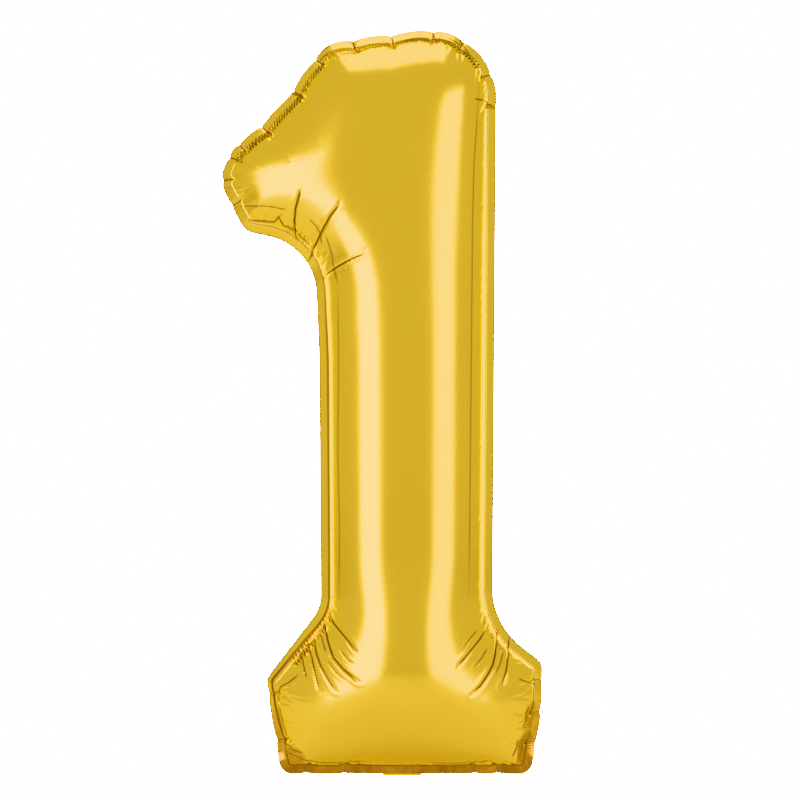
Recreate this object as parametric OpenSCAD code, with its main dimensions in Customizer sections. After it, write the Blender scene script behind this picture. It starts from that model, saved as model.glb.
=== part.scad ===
// Foil number balloon: a filled figure one, made of two foil panels welded round the edge,
// with a folded filling tail and a self-sealing film valve inside.
// The figure stands in the XZ plane and faces -Y. The origin is the foot of the tail's fold,
// where the ribbon is tied.

/* [Figure] */
// Height of the filled figure, from the tail's fold to the top edge
figure_h = 864; // [640:1:1016]
// Depth of the filled stem, front to back
figure_d = 162; // [120:1:190]
// Width of the flat welded margin round the edge
margin_w = 10; // [6:0.5:14]

/* [Film] */
// Thickness of each foil panel
foil_t = 0.3; // [0.2:0.05:0.5]
// Thickness of the weld layer between the two panels
seal_t = 0.4; // [0.35:0.05:0.6]

/* [Tail] */
// Width of the filling tail
tail_w = 44; // [40:1:50]
// Length of the tail past its fold
tail_l = 56; // [40:1:64]
// Radius of the tail's curl under the body
curl_r = 62; // [58:1:90]
// Width of the weld along each side of the tail
tail_seal_w = 5; // [3:0.5:6]

/* [Valve] */
// Width of the two valve films
valve_w = 32; // [24:1:33]
// Length of the valve inside the body
valve_l = 95; // [60:1:110]
// Thickness of each valve film
valve_t = 0.12; // [0.08:0.01:0.14]
// Width of the weld along each side of the valve
valve_seal_w = 3; // [2:0.5:5]

/* [Hidden] */

foil_colour = [0.93, 0.70, 0.10];
film_colour = [0.86, 0.90, 0.92];

// Corners of the weld's inner edge, clockwise from the flag's tip, measured from the middle of
// the foot at the drawn height. Each is [x, z, corner radius, share of the spine that the
// surface's spokes start from].
corners = [
    [-201, 677, 22, 0.00],  // flag tip
    [-189, 706, 30, 0.00],  // flag tip, upper side
    [-157, 732, 40, 0.06],  // slope, lower hollow
    [-128, 762, 60, 0.12],  // slope, upper hollow
    [-83, 826, 36, 0.24],   // top left
    [100, 850, 70, 0.36],   // top right
    [95, 157, 96, 1.00],    // right waist
    [153, 112, 3, 1.00],    // right shoulder
    [151, 56, 30, 1.00],    // right side of the foot
    [140, 0, 5, 1.00],      // foot, right
    [-131, 0, 5, 1.00],     // foot, left
    [-141, 55, 40, 1.00],   // left side of the foot
    [-147, 96, 3, 1.00],    // left shoulder
    [-84, 178, 54, 1.00],   // left waist
    [-86, 471, 400, 0.58],  // stem, left
    [-92, 609, 80, 0.30],   // armpit under the flag
    [-176, 626, 16, 0.00],  // flag tip, lower side
];
foot_corner = 9;
drawn_h = 840.1;
drawn_half_w = 90;
// The spine that the spokes of the surface start from: [share, x, z].
spine = [[0.00, -150, 676], [0.15, -90, 711], [0.28, -25, 721], [0.36, 4, 686],
         [0.45, 4, 626], [1.00, 4, 78]];
spine_n = 30;
spoke_n = 8;
straight_step = 30;
arc_step = 10;

neck_l = 2.6;
foil_y = seal_t / 2 + foil_t;
foot_z = margin_w + neck_l;
k = (figure_h - foot_z - margin_w) / drawn_h;
half_w = drawn_half_w * k;
half_d = figure_d / 2 - foil_y;
crease_z = foil_y;
crease_gap = 0.05;
neck_end_z = crease_z + foil_y + crease_gap;

// --- Outline ------------------------------------------------------------------------------

function unit(v) = v / norm(v);
function xz(p) = [p[0], p[1]];
function wrap(a) = a > 180 ? a - 360 : a < -180 ? a + 360 : a;
function flat(lists) = [for (l = lists) each l];
function corner(i) = let (c = corners[i % len(corners)]) [c[0] * k, foot_z + c[1] * k];

// Points of the arc at corner i, each [x, z, outward normal x, outward normal z].
function arc(i) =
    let (
        q = corner(i),
        r = corners[i][2] * k,
        a = unit(corner(i + len(corners) - 1) - q),
        b = unit(corner(i + 1) - q),
        half = acos(a * b) / 2,
        centre = q + unit(a + b) * r / sin(half),
        from = q + a * r / tan(half) - centre,
        to = q + b * r / tan(half) - centre,
        start = atan2(from[1], from[0]),
        turn = wrap(atan2(to[1], to[0]) - start),
        side = turn < 0 ? 1 : -1,
        m = max(1, ceil((r + margin_w) * abs(turn) * PI / 180 / arc_step))
    )
    [for (j = [0:m]) let (t = start + turn * j / m, u = [cos(t), sin(t)])
        concat(centre + r * u, side * u)];

// Evenly spaced points from p up to but not including q.
function between(p, q) =
    let (m = max(1, ceil(norm(xz(q) - xz(p)) / straight_step)))
    [for (j = [0:m - 1]) p + (q - p) * j / m];

// The neck's two sides, where the margin steps down to the tail.
neck = [for (x = [tail_w / 2 + 1, tail_w / 2, -tail_w / 2, -tail_w / 2 - 1]) [x, foot_z, 0, -1]];
arcs = [for (i = [0:len(corners) - 1]) arc(i)];
knots = flat([for (i = [0:len(corners) - 1]) i == foot_corner ? concat(arcs[i], neck) : arcs[i]]);
seam = flat([for (i = [0:len(knots) - 1]) between(knots[i], knots[(i + 1) % len(knots)])]);
seam_n = len(seam);
function margin_at(s) = s[3] < -0.99 && abs(s[0]) < tail_w / 2 + 0.5
    ? foot_z - neck_end_z : margin_w;

// Length along the seam at each of its points, and at the middle of each corner's arc.
function gap(i) = norm(xz(seam[(i + 1) % seam_n]) - xz(seam[i]));
along = [for (i = 0, s = 0; i < seam_n; s = s + gap(i), i = i + 1) s];
function nearest(p, i = 0, best = 0) =
    i == seam_n ? best
    : nearest(p, i + 1, norm(xz(seam[i]) - p) < norm(xz(seam[best]) - p) ? i : best);
marks = [for (i = [0:len(corners) - 1])
    let (a = arcs[i]) [along[nearest(xz(a[floor((len(a) - 1) / 2)]))], corners[i][3]]];
seam_len = along[seam_n - 1] + gap(seam_n - 1);
marks_round = concat(marks, [[seam_len, corners[0][3]]]);

// --- Filled surface -----------------------------------------------------------------------

// Integral of 1 / distance cubed from p along one stretch of the seam.
function pull(i, p) =
    let (a = xz(seam[i]) - p, b = xz(seam[(i + 1) % seam_n]) - p, t = unit(b - a), off = cross(a, t))
    (b * t / norm(b) - a * t / norm(a)) / max(off * off, 0.000001);

// Smooth distance of p from the whole seam: it equals the true distance beside a straight
// edge, and it has no ridge along the middle.
function seam_distance(p) =
    let (pulls = [for (i = [0:seam_n - 1]) pull(i, p)])
    sqrt(2 / (pulls * [for (i = [0:seam_n - 1]) 1]));

// How full the foil is filled beside the plain stem: more where the foot joins the stem, and
// less towards the flag's tip, the foot's ends and the top.
function ease(t) = let (c = min(1, max(0, t))) c * c * (3 - 2 * c);
function fullness(p) =
    let (
        x = p[0] / k,
        z = (p[1] - foot_z) / k,
        foot = 1 - ease((z - 105) / 140),
        flag = ease((z - 465) / 180),
        foot_out = abs(x - 4) / 135,
        flag_out = max(0, -60 - x) / 125
    )
    1 + foot * (0.11 - 0.52 * pow(foot_out, 1.6)) - 0.28 * flag * pow(flag_out, 1.6)
        - 0.15 * ease((z - 540) / 200);

// Height of the foil above the weld: an ellipse across a straight stem of half width half_w.
function puff(p) =
    let (r = seam_distance(p) / half_w, q = r * r)
    sqrt(sqrt(q * q + 4 * q) - q) * fullness(p);

function spine_at(share) = [lookup(share, [for (s = spine) [s[0], s[1] * k]]),
                            lookup(share, [for (s = spine) [s[0], foot_z + s[2] * k]])];
roots = [for (j = [0:spine_n]) spine_at(j / spine_n)];
root_of = [for (i = [0:seam_n - 1]) round(spine_n * lookup(along[i], marks_round))];

// Rings of points from the spine out to the seam; ring spoke_n is the seam itself.
function spoke(i, j) =
    let (u = sin(90 * j / spoke_n)) roots[root_of[i]] * (1 - u) + xz(seam[i]) * u;
root_puff = [for (p = roots) puff(p)];
ring_puff = [for (j = [1:spoke_n - 1]) [for (i = [0:seam_n - 1]) puff(spoke(i, j))]];

// One face of a panel: inset is how far it lies inside the outer face of the foil.
function face_points(inset) =
    let (y0 = foil_y - inset)
    concat(
        [for (j = [0:spine_n]) [roots[j][0], y0 + half_d * root_puff[j], roots[j][1]]],
        [for (j = [1:spoke_n - 1]) for (i = [0:seam_n - 1])
            let (p = spoke(i, j) - inset * sin(90 * j / spoke_n) * [seam[i][2], seam[i][3]])
            [p[0], y0 + half_d * ring_puff[j - 1][i], p[1]]],
        [for (s = seam) [s[0] - inset * s[2], y0, s[1] - inset * s[3]]],
        [for (s = seam) let (m = margin_at(s)) [s[0] + m * s[2], y0, s[1] + m * s[3]]]
    );
face_n = spine_n + 1 + (spoke_n + 1) * seam_n;

// Triangles of one face, from the spine out to the margin's edge.
function at(i, j) = spine_n + 1 + (j - 1) * seam_n + i % seam_n;
function fan(i) =
    let (a = root_of[i], b = root_of[(i + 1) % seam_n], way = b < a ? -1 : 1)
    concat(
        a == b ? [] : [for (r = [a:way:b - way]) [r, r + way, at(i, 1)]],
        [[b, at(i + 1, 1), at(i, 1)]]
    );
skin = concat(
    flat([for (i = [0:seam_n - 1]) fan(i)]),
    flat([for (j = [1:spoke_n]) for (i = [0:seam_n - 1])
        [[at(i, j), at(i + 1, j), at(i + 1, j + 1)], [at(i, j), at(i + 1, j + 1), at(i, j + 1)]]])
);
rim = flat([for (i = [0:seam_n - 1])
    let (a = at(i, spoke_n + 1), b = at(i + 1, spoke_n + 1))
    [[a, b, b + face_n], [a, b + face_n, a + face_n]]]);

// --- Envelope -----------------------------------------------------------------------------

// A dome of foil with its flat margin, and the root of the tail below it.
module panel() {
    inner = [for (f = skin) [f[2], f[1], f[0]] + face_n * [1, 1, 1]];
    polyhedron(points = concat(face_points(0), face_points(foil_t)),
               faces = concat(skin, inner, rim));
}

module back_panel() {
    color(foil_colour) panel();
}

module front_panel() {
    color(foil_colour) mirror([0, 1, 0]) panel();
}

// A flat sheet t thick, centred on x and y, from z0 up to z1.
module sheet(w, t, y, z0, z1) {
    translate([-w / 2, y - t / 2, z0]) cube([w, t, z1 - z0]);
}

// The flat weld layer between the margins, open where the valve passes through the neck.
module perimeter_seal() {
    edge_gap = 0.5;
    throat_w = tail_w - 2 * tail_seal_w;
    color(film_colour) difference() {
        rotate([90, 0, 0]) linear_extrude(seal_t, center = true) difference() {
            polygon([for (s = seam) xz(s) + (margin_at(s) - edge_gap) * [s[2], s[3]]]);
            polygon([for (s = seam) xz(s) + edge_gap * [s[2], s[3]]]);
        }
        sheet(throat_w, 2 * seal_t, 0, 0, foot_z + 1);
    }
}

// The valve's films pass through the neck, each against its own foil.
film_y = (seal_t - valve_t) / 2;

module throat_front_film() {
    color(film_colour) sheet(valve_w, valve_t, -film_y, neck_end_z, foot_z);
}

module throat_back_film() {
    color(film_colour) sheet(valve_w, valve_t, film_y, neck_end_z, foot_z);
}

// --- Tail ---------------------------------------------------------------------------------

// The tail turns at the crease and curls back under the body. Its layers are measured from
// its middle, r positive towards the outside of the curl.
curl_angle = tail_l / curl_r * 180 / PI;
tail_end_gap = 10 / curl_r * 180 / PI;

// A strip bent about an axis along X at height z, between radii r0 and r1, from one angle to
// another, both measured from straight down towards the back.
module bent(z, r0, r1, from, to, x0, x1) {
    translate([0, 0, z]) rotate([0, 90, 0]) rotate([0, 0, from])
        rotate_extrude(angle = to - from, $fn = 120) translate([r0, x0]) square([r1 - r0, x1 - x0]);
}

// A layer of the tail from inner to outer, between two angles of the curl.
module tail_layer(inner, outer, from, to, x0, x1) {
    bent(crease_z + curl_r, curl_r + inner, curl_r + outer, from, to, x0, x1);
}

module tail_front_foil() {
    color(foil_colour) {
        tail_layer(seal_t / 2, foil_y, 0, curl_angle, -tail_w / 2, tail_w / 2);
        bent(crease_z, seal_t / 2, foil_y, -90, 0, -tail_w / 2, tail_w / 2);
    }
}

module tail_back_foil() {
    color(foil_colour) {
        tail_layer(-foil_y, -seal_t / 2, 0, curl_angle, -tail_w / 2, tail_w / 2);
        bent(crease_z, seal_t / 2, foil_y, -180, -90, -tail_w / 2, tail_w / 2);
    }
}

// The welds along the tail's two sides, between its foils.
module tail_side_seals() {
    color(film_colour) for (x0 = [-tail_w / 2, tail_w / 2 - tail_seal_w])
        tail_layer(-seal_t / 2, seal_t / 2, 0, curl_angle, x0, x0 + tail_seal_w);
}

module tail_front_film() {
    color(film_colour) tail_layer(film_y - valve_t / 2, film_y + valve_t / 2,
                                  0, curl_angle - tail_end_gap, -valve_w / 2, valve_w / 2);
}

module tail_back_film() {
    color(film_colour) tail_layer(-film_y - valve_t / 2, -film_y + valve_t / 2,
                                  0, curl_angle - tail_end_gap, -valve_w / 2, valve_w / 2);
}

// --- Valve --------------------------------------------------------------------------------

// Inside the body the two films stand free above the neck, welded along their sides.
valve_hinge_z = foot_z + 0.5;
valve_end_z = valve_hinge_z + valve_l;

module valve_front_film() {
    color(film_colour) sheet(valve_w, valve_t, -film_y, valve_hinge_z, valve_end_z);
}

module valve_back_film() {
    color(film_colour) sheet(valve_w, valve_t, film_y, valve_hinge_z, valve_end_z);
}

module valve_side_seals() {
    weld_t = seal_t - 2 * valve_t;
    color(film_colour) for (side = [-1, 1])
        translate([side * (valve_w - valve_seal_w) / 2, 0, 0])
            sheet(valve_seal_w, weld_t, 0, valve_hinge_z, valve_end_z);
}

front_panel();
back_panel();
perimeter_seal();
throat_front_film();
throat_back_film();
tail_front_foil();
tail_back_foil();
tail_side_seals();
tail_front_film();
tail_back_film();
valve_front_film();
valve_back_film();
valve_side_seals();
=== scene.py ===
import math

import bpy
import numpy as np
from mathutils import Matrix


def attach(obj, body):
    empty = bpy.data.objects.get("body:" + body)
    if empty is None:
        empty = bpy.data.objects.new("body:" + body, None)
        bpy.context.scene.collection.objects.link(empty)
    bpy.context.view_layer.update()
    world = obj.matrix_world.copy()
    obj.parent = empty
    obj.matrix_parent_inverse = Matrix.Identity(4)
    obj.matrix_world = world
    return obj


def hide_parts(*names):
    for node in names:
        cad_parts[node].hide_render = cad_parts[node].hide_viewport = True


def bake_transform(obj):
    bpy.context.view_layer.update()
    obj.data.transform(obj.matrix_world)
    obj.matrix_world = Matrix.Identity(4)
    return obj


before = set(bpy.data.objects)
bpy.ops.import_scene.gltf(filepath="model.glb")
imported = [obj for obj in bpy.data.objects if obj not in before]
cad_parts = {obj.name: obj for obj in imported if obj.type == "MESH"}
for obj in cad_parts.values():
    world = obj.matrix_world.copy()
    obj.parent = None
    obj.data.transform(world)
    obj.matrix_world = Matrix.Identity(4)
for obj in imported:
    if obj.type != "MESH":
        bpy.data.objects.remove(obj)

# Lengths are in millimetres until a mesh is made; lights, floor and camera are in metres. X is
# across the figure, Z is up, and the front faces -Y.
HALF_W = 90.14      # half width of the stem between its welds
HALF_D = 80.5       # height of the filled foil over the weld
DRAWN_SCALE = 1.0016
FOOT_Z = 12.6       # height of the foot's seam above the fold of the tail
MARGIN = 10.0       # width of the welded margin
FOIL_GAP = 0.25     # each foil's distance from the middle of the weld
NECK_Z = 1.3        # bottom of the body's part of the neck
TAIL_W = 44.0
CURL_R = 62.0
TAIL_FOIL_L = 57.2   # length of the tail's foils along the film
TAIL_WELD_L = 57.0
TAIL_FILM_L = 47.2   # length of the valve films in the tail
TAIL_SEAL_W = 5.0
VALVE_W = 32.0
VALVE_SEAL_W = 3.0
VALVE_Z = 13.1      # where the valve leaves the neck
VALVE_L = 95.0
FILM_Y = 0.14       # each valve film's distance from the middle
CREASE_Z = 0.5
ZIGZAG = 5.4        # half height of the zigzag that the crinkles draw inside the seam

# Corners of the seam, clockwise from the flag's tip: x, height above the foot's seam, radius,
# and the share of the spine that the surface's spokes start from.
CORNERS = [
    (-201, 677, 22, 0.00),
    (-189, 706, 30, 0.00),
    (-157, 732, 40, 0.06),
    (-128, 762, 60, 0.12),
    (-83, 826, 36, 0.24),
    (100, 850, 70, 0.36),
    (95, 157, 96, 1.00),
    (153, 112, 3, 1.00),
    (151, 56, 30, 1.00),
    (140, 0, 5, 1.00),
    (-131, 0, 5, 1.00),
    (-141, 55, 40, 1.00),
    (-147, 96, 3, 1.00),
    (-84, 178, 54, 1.00),
    (-86, 471, 400, 0.58),
    (-92, 609, 80, 0.30),
    (-176, 626, 16, 0.00),
]
SPINE = [(0.00, -150, 676), (0.15, -90, 711), (0.28, -25, 721), (0.36, 4, 686),
         (0.45, 4, 626), (1.00, 4, 78)]

# Where the edge is tucked into a pleat: x, z, how far the edge is drawn in, how far the
# pleat runs into the body, and its slant.
PLEATS = [
    (-198, 716, 2.5, 14, 0.2),
    (-187, 729, 2.0, 10, -0.3),
    (-162, 751, 3.0, 16, 0.3),
    (-126, 793, 3.4, 22, -0.4),
    (-99, 828, 3.0, 18, 0.5),
    (-56, 846, 3.0, 18, 0.5),
    (-12, 858, 3.2, 24, 0.2),
    (36, 860, 3.0, 18, 0.3),
    (69, 845, 2.6, 20, 0.5),
    (99, 811, 2.2, 14, 0.2),
    (107, 774, 1.6, 20, 0.0),
    (133, 112, 1.6, 14, 0.3),
    (152, 74, 1.8, 14, 0.2),
    (146, 38, 1.6, 12, -0.2),
    (111, 6, 2.4, 14, 0.3),
    (84, 6, 2.0, 12, -0.3),
    (-66, 6, 2.2, 14, 0.2),
    (-112, 6, 2.0, 12, -0.2),
    (-138, 42, 2.4, 14, 0.4),
    (-150, 96, 1.6, 12, 0.0),
    (-196, 661, 2.0, 14, 0.3),
    (-205, 690, 2.2, 12, -0.3),
]

# Folds pressed into the foil: group, depth, half width, and points (x, z). Folds of one group
# keep well apart, because each group is one distance field.
FOLDS = [
    # armpit under the flag
    (0, 2.8, 2.2, [(-114, 674), (-116, 668), (-121, 652), (-123, 636), (-122, 617)]),
    (1, 3.0, 2.2, [(-68, 657), (-81, 642), (-92, 624), (-101, 608), (-109, 594)]),
    (0, 3.0, 2.2, [(-40, 599), (-54, 594), (-66, 589), (-78, 583), (-90, 575)]),
    (2, 0.8, 1.4, [(-106, 640), (-98, 632), (-94, 626), (-91, 610)]),
    (3, 0.7, 1.4, [(-87, 622), (-80, 600), (-77, 582), (-73, 566)]),
    # under the flag
    (1, 0.9, 1.3, [(-188, 658), (-170, 656), (-148, 654), (-130, 650)]),
    (3, 1.5, 1.4, [(-180, 642), (-160, 639), (-146, 638), (-141, 643), (-136, 634), (-124, 629),
                   (-112, 618), (-104, 612)]),
    # left side of the stem
    (3, 0.3, 1.4, [(-73, 566), (-72, 480), (-73, 377), (-71, 290), (-72, 205)]),
    # left waist
    (0, 2.2, 2.4, [(-83, 187), (-79, 181), (-69, 171), (-61, 163), (-53, 153)]),
    (1, 3.0, 2.6, [(-89, 182), (-88, 176), (-87, 168), (-83, 155), (-78, 143), (-66, 131), (-50, 119)]),
    (2, 2.2, 2.2, [(-101, 160), (-98, 146), (-93, 134), (-85, 120), (-75, 106)]),
    (3, 2.0, 2.2, [(-109, 160), (-106, 150), (-103, 140), (-99, 124), (-94, 106)]),
    (3, 1.4, 1.8, [(-94, 172), (-90, 158), (-86, 148)]),
    (0, 1.2, 1.6, [(-70, 152), (-62, 143), (-56, 139)]),
    (3, 1.2, 1.6, [(-84, 138), (-76, 128), (-66, 120)]),
    (0, 1.6, 1.8, [(-116, 146), (-113, 132), (-109, 118)]),
    # left side of the foot
    (1, 1.4, 1.6, [(-118, 121), (-130, 111), (-140, 105), (-143, 96), (-142, 86)]),
    (2, 1.2, 1.6, [(-141, 82), (-137, 66), (-133, 46)]),
    (1, 1.6, 2.0, [(-136, 40), (-126, 34), (-113, 31)]),
    (3, 1.6, 2.2, [(-132, 30), (-120, 26), (-104, 19)]),
    # bottom of the foot
    (2, 0.9, 1.4, [(-112, 21), (-95, 19), (-78, 20), (-60, 20), (-41, 23)]),
    (2, 0.8, 1.4, [(30, 22), (52, 19), (80, 20), (104, 22)]),
    # right side of the foot
    (0, 1.8, 2.2, [(152, 88), (150, 72), (145, 56)]),
    (1, 1.6, 2.0, [(146, 84), (143, 70), (139, 58)]),
    (0, 1.6, 2.0, [(141, 48), (137, 32), (131, 17)]),
    (2, 1.6, 2.0, [(134, 46), (131, 36), (126, 26)]),
    # right waist
    (0, 2.2, 2.4, [(96, 173), (89, 163), (79, 153), (72, 145), (63, 136)]),
    (1, 3.0, 2.6, [(111, 170), (110, 164), (107, 145), (104, 134), (98, 124), (90, 113), (79, 103)]),
    (2, 2.2, 2.2, [(124, 160), (123, 150), (122, 140), (119, 126), (114, 110)]),
    (3, 1.2, 1.6, [(97, 152), (91, 143), (83, 134)]),
    (3, 1.0, 1.5, [(86, 173), (78, 166), (71, 156)]),
    (0, 1.3, 1.6, [(133, 116), (144, 111), (155, 105)]),
    (3, 1.2, 1.6, [(116, 146), (112, 134), (107, 124)]),
    # right side of the stem and top
    (1, 0.4, 1.8, [(89, 806), (86, 760), (82, 703), (80, 632), (78, 420), (76, 206)]),
    (2, 0.9, 1.5, [(-81, 826), (-54, 832), (-14, 842), (18, 847), (37, 848), (60, 842)]),
    (3, 1.8, 1.6, [(82, 777), (95, 777), (107, 774)]),
    (0, 1.8, 1.6, [(-137, 796), (-122, 787), (-110, 779)]),
    (3, 1.4, 1.5, [(-101, 832), (-94, 838), (-82, 845)]),
    (0, 1.2, 1.4, [(-97, 826), (-90, 832), (-78, 838)]),
    (3, 2.6, 1.6, [(-61, 853), (-56, 846), (-50, 832)]),
    (3, 2.6, 1.6, [(-14, 866), (-12, 856), (-9, 837)]),
    (1, 2.4, 1.6, [(35, 867), (37, 856), (40, 842)]),
    (3, 2.4, 1.6, [(66, 853), (73, 843), (80, 827)]),
    (2, 1.2, 1.5, [(52, 853), (66, 846), (76, 838)]),
]

# Stretches of fine crinkles beside the seam: from (x, z) to (x, z), spacing, height.
CRINKLES = [
    ((-197, 716), (-188, 729), 4.2, 0.70),
    ((-185, 731), (-163, 749), 4.3, 0.95),
    ((-161, 752), (-127, 790), 4.3, 1.00),
    ((-124, 795), (-99, 826), 4.2, 0.95),
    ((-96, 830), (-60, 845), 4.6, 0.36),
    ((-52, 848), (-14, 857), 4.0, 0.50),
    ((-8, 858), (34, 860), 3.6, 0.95),
    ((38, 859), (67, 846), 4.0, 0.90),
    ((71, 844), (90, 822), 4.4, 1.00),
    ((-89, 198), (-122, 130), 5.2, 0.70),
    ((94, 188), (120, 134), 5.2, 0.22),
    ((-134, 625), (-96, 588), 4.6, 0.30),
    ((151, 84), (146, 52), 3.4, 0.42),
    ((144, 46), (138, 10), 3.4, 0.40),
    ((-139, 40), (-133, 10), 5.0, 0.40),
]


# How the margin looks round the seam: x, z, strength of the painted shade line at the seam,
# strength of the dark cut edge, backward slope of the margin, how ruffled it is, strength of the
# painted dark reflection on the margin, and how far inside the seam the painted shade line lies.
MARGIN_LOOK = [
    (60, 6, 0.70, 0.20, -0.11, 0.3, 0.56, 4.0),
    (130, 6, 0.70, 0.40, -0.09, 0.4, 0.56, 4.0),
    (152, 50, 0.55, 0.75, 0.80, 0.4, 0.36, 1.0),
    (155, 112, 0.10, 0.90, 1.00, 0.5, 0.05, 0.4),
    (110, 170, 0.00, 0.90, 1.12, 0.4, 0.00, 0.4),
    (100, 300, 0.00, 0.85, 1.10, 0.1, 0.00, 0.4),
    (102, 600, 0.00, 0.80, 1.10, 0.1, 0.00, 0.4),
    (104, 760, 0.00, 0.70, 1.00, 0.4, 0.00, 0.4),
    (84, 835, 0.00, 0.45, 0.90, 0.7, 0.03, 0.4),
    (0, 858, 0.00, 0.40, 0.85, 0.7, 0.03, 0.4),
    (-83, 835, 0.00, 0.40, 0.85, 0.8, 0.03, 0.4),
    (-127, 790, 0.10, 0.45, 0.80, 0.8, 0.00, 0.4),
    (-162, 750, 0.10, 0.45, 0.80, 0.8, 0.00, 0.4),
    (-205, 690, 0.05, 0.95, 0.90, 0.8, 0.05, 0.4),
    (-185, 645, 0.05, 0.95, 0.90, 0.6, 0.05, 0.4),
    (-130, 620, 0.05, 0.95, 0.90, 0.4, 0.03, 0.4),
    (-100, 590, 0.15, 0.80, 0.90, 0.4, 0.00, 0.4),
    (-96, 500, 1.00, 0.60, 0.85, 0.1, 0.00, 0.9),
    (-95, 250, 1.15, 0.50, 0.85, 0.1, 0.00, 0.9),
    (-98, 185, 0.70, 0.60, 0.90, 0.5, 0.00, 0.0),
    (-120, 140, 0.60, 0.75, 0.95, 0.6, 0.00, -2.5),
    (-150, 98, 0.90, 0.90, 0.95, 0.8, 0.05, -4.0),
    (-150, 80, 0.90, 0.90, 0.80, 0.8, 0.20, -3.0),
    (-142, 30, 0.90, 0.70, 0.75, 0.5, 0.42, 1.0),
    (-125, 6, 0.75, 0.40, -0.09, 0.4, 0.58, 4.0),
    (-70, 6, 0.70, 0.20, -0.11, 0.3, 0.56, 4.0),
]

# Painted shade: fine dark stripes on the crinkled facets where the foot's ends are pressed
# together: x, z, half width, half height, lean in degrees, strength.
PAINTED_RIB_SHADE = [
    (149, 72, 7, 18, 12, 0.46),
    (142, 35, 11, 23, 12, 0.66),
    (-142, 62, 6, 20, -6, 0.36),
    (-124, 25, 14, 14, 0, 0.46),
]


# --- Seam outline ---------------------------------------------------------------------------

def unit(v):
    return v / np.linalg.norm(v)


def corner(i):
    x, z = CORNERS[i % len(CORNERS)][:2]
    return np.array([x * DRAWN_SCALE, FOOT_Z + z * DRAWN_SCALE])


def arc(i):
    """Points of the rounded corner i with their outward normals."""
    radius = CORNERS[i][2] * DRAWN_SCALE
    q = corner(i)
    a = unit(corner(i - 1) - q)
    b = unit(corner(i + 1) - q)
    half = math.acos(a @ b) / 2
    centre = q + unit(a + b) * radius / math.sin(half)
    first = q + a * radius / math.tan(half) - centre
    last = q + b * radius / math.tan(half) - centre
    start = math.atan2(first[1], first[0])
    turn = (math.atan2(last[1], last[0]) - start + math.pi) % (2 * math.pi) - math.pi
    steps = max(4, math.ceil(radius * abs(turn) / 1.5))
    t = start + turn * np.linspace(0, 1, steps + 1)
    u = np.column_stack([np.cos(t), np.sin(t)])
    side = 1 if turn < 0 else -1
    return centre + radius * u, side * u


def seam_outline():
    """The whole seam from the middle of the neck and back: points, normals, lengths, shares."""
    points, normals, marks = [], [], []
    for i in range(len(CORNERS)):
        p, n = arc(i)
        marks.append((sum(len(x) for x in points) + len(p) // 2, CORNERS[i][3]))
        points.append(p)
        normals.append(n)
    first = sum(len(x) for x in points[:10])
    points = np.concatenate(points)
    normals = np.concatenate(normals)
    points = np.roll(points, -first, axis=0)
    normals = np.roll(normals, -first, axis=0)
    count = len(points)
    marks = sorted(((i - first) % count, share) for i, share in marks)
    neck = np.array([[0.0, FOOT_Z]])
    down = np.array([[0.0, -1.0]])
    points = np.concatenate([neck, points, neck])
    normals = np.concatenate([down, normals, down])
    steps = np.linalg.norm(np.diff(points, axis=0), axis=1)
    along = np.concatenate([[0], np.cumsum(steps)])
    at = [0] + [along[i + 1] for i, _ in marks] + [along[-1]]
    share = np.interp(along, at, [1.0] + [s for _, s in marks] + [1.0])
    return points, normals, along, share


SEAM_P, SEAM_N, SEAM_S, SEAM_SHARE = seam_outline()
SEAM_LEN = SEAM_S[-1]


def nearest_s(x, z):
    """Length along the seam at its point nearest to (x, z)."""
    s = np.linspace(0, SEAM_LEN, 5001)
    px = np.interp(s, SEAM_S, SEAM_P[:, 0])
    pz = np.interp(s, SEAM_S, SEAM_P[:, 1])
    return s[np.argmin((px - x) ** 2 + (pz - z) ** 2)]


# --- Filled surface -------------------------------------------------------------------------

def seam_distance(points):
    """Smooth distance of each point from the whole seam."""
    a_end, b_end = SEAM_P[:-1], SEAM_P[1:]
    t = b_end - a_end
    t = t / np.linalg.norm(t, axis=1)[:, None]
    out = np.empty(len(points))
    for i in range(0, len(points), 4000):
        p = points[i:i + 4000]
        ax = a_end[None, :, 0] - p[:, None, 0]
        az = a_end[None, :, 1] - p[:, None, 1]
        bx = b_end[None, :, 0] - p[:, None, 0]
        bz = b_end[None, :, 1] - p[:, None, 1]
        off = ax * t[:, 1] - az * t[:, 0]
        tb = (bx * t[:, 0] + bz * t[:, 1]) / np.sqrt(bx * bx + bz * bz)
        ta = (ax * t[:, 0] + az * t[:, 1]) / np.sqrt(ax * ax + az * az)
        pull = ((tb - ta) / np.maximum(off * off, 1e-6)).sum(axis=1)
        out[i:i + 4000] = np.sqrt(2 / np.maximum(pull, 1e-9))
    return out


def ease(t):
    c = np.clip(t, 0, 1)
    return c * c * (3 - 2 * c)


def fullness(points):
    """Fuller where the foot joins the stem, thinner towards the flag, the top and the ends."""
    x = points[:, 0] / DRAWN_SCALE
    z = (points[:, 1] - FOOT_Z) / DRAWN_SCALE
    foot = 1 - ease((z - 105) / 140)
    flag = ease((z - 465) / 180)
    foot_out = np.abs(x - 4) / 135
    flag_out = np.maximum(0, -60 - x) / 125
    low = foot * (0.11 - 0.52 * foot_out ** 1.6)
    return 1 + low - 0.28 * flag * flag_out ** 1.6 - 0.15 * ease((z - 540) / 200)


def puff(points):
    """Share of the full depth that the foil stands above the weld."""
    q = (seam_distance(points) / HALF_W) ** 2
    return np.sqrt(np.sqrt(q * q + 4 * q) - q) * fullness(points)


def spine_at(share):
    x = np.interp(share, [p[0] for p in SPINE], [p[1] for p in SPINE]) * DRAWN_SCALE
    z = np.interp(share, [p[0] for p in SPINE], [p[2] for p in SPINE]) * DRAWN_SCALE
    return np.column_stack([x, FOOT_Z + z])


# --- Grid of a panel ------------------------------------------------------------------------

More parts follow.
